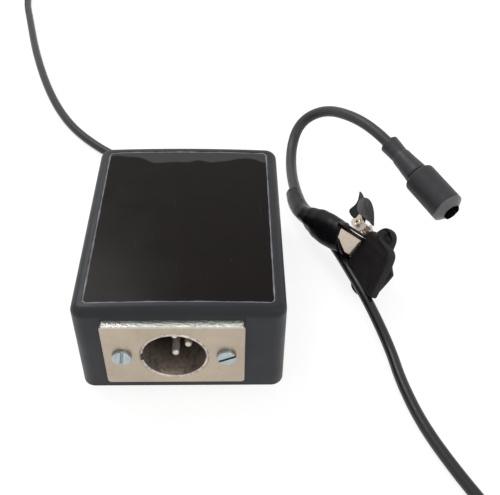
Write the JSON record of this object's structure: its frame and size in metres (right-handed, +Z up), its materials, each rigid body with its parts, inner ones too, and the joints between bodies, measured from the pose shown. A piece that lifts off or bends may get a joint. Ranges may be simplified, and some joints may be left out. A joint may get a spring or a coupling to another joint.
{
  "type": "lavalier microphone",
  "caption": "Clip-on microphone on a bendable neck, with a sprung clip, a thin cable and a box-shaped powering module with a three-pin socket.",
  "frame": {"origin": "centre of the powering module's underside", "axes": "+Z up from the table; -Y out of the socket; +X to the right when the socket faces the viewer, the side where the microphone lies"},
  "size_m": [0.2539, 0.396, 0.0365],
  "materials": {
    "case_plastic": "satin moulded charcoal plastic",
    "label_black": "glossy near-black label",
    "nickel": "satin nickel with a warm tint",
    "zinc": "bright zinc",
    "insulator_black": "matt black",
    "contact_silver": "bright plated",
    "board_green": "solder mask",
    "component_black": "satin",
    "capacitor_sleeve": "satin",
    "resistor_beige": "matt",
    "terminal_green": "satin",
    "wire_red": "satin",
    "cable_black": "semi-gloss",
    "grommet_black": "matt",
    "nylon_black": "satin",
    "clip_nickel": "nickel plated sheet",
    "spring_steel": "bright",
    "sleeve_rubber": "matt",
    "lever_rubber": "satin",
    "shrink_black": "glossy shrink tube",
    "neck_grey": "satin",
    "housing_grey": "matt",
    "ring_grey": "satin",
    "screen_black": "matt",
    "can_aluminium": "bright"
  },
  "bodies": {
    "root": {"case_shell": "case_plastic", "case_base": "case_plastic", "case_screws": "zinc", "label_panel": "label_black", "faceplate": "nickel", "faceplate_screws": "zinc", "socket_shell": "nickel", "socket_insulator": "insulator_black", "contact_pin_1": "contact_silver", "contact_pin_2": "contact_silver", "contact_pin_3": "contact_silver", "socket_wires": "wire_red", "circuit_board": "board_green", "board_screws": "zinc", "coupling_capacitors": "capacitor_sleeve", "filter_capacitor": "capacitor_sleeve", "transistor": "component_black", "resistors": "resistor_beige", "terminal_block": "terminal_green", "cable_grommet": "grommet_black", "cable_tie": "nylon_black", "inner_lead": "cable_black", "cable_coil": "cable_black", "cable_case_side": "cable_black", "cable_mic_side": "cable_black", "clip_fixed_half": "clip_nickel", "clip_pivot_pin": "clip_nickel", "clip_spring": "spring_steel", "fixed_jaw_sleeve": "sleeve_rubber", "clip_shrink": "shrink_black", "neck_root": "neck_grey"},
    "jaw": {"clip_free_half": "clip_nickel", "free_jaw_sleeve": "sleeve_rubber", "lever_sleeve": "lever_rubber"},
    "neck_lower": {"neck_bend": "neck_grey"},
    "neck_upper": {"neck_span": "neck_grey"},
    "head": {"neck_tip": "neck_grey", "neck_sleeve": "neck_grey", "capsule_boot": "neck_grey", "capsule_housing": "housing_grey", "capsule_front_ring": "ring_grey", "capsule_screen": "screen_black", "electret_capsule": "can_aluminium", "capsule_holder": "grommet_black"}
  },
  "joints": [
    {"name": "jaw_hinge", "type": "hinge", "parent": "root", "child": "jaw", "pos_m": [0.0631, 0.0142, 0.0142], "axis": [0.5119, 0.1372, 0.848], "range_deg": [0, 22], "stiffness_Nm_per_rad": 0.06, "springref_deg": -40.11},
    {"name": "neck_bend_root", "type": "hinge", "parent": "root", "child": "neck_lower", "pos_m": [0.04114, 0.06334, 0.00472], "axis": [0.5398, 0, -0.8418], "range_deg": [-12, 5]},
    {"name": "neck_bend_middle", "type": "hinge", "parent": "neck_lower", "child": "neck_upper", "pos_m": [0.0613, 0.0825, 0.0229], "axis": [0.577, 0.165, -0.7999], "range_deg": [-14, 7]},
    {"name": "neck_bend_head", "type": "hinge", "parent": "neck_upper", "child": "head", "pos_m": [0.0711, 0.0694, 0.0256], "axis": [0.477, 0.3, -0.8261], "range_deg": [-14, 9]}
  ]
}
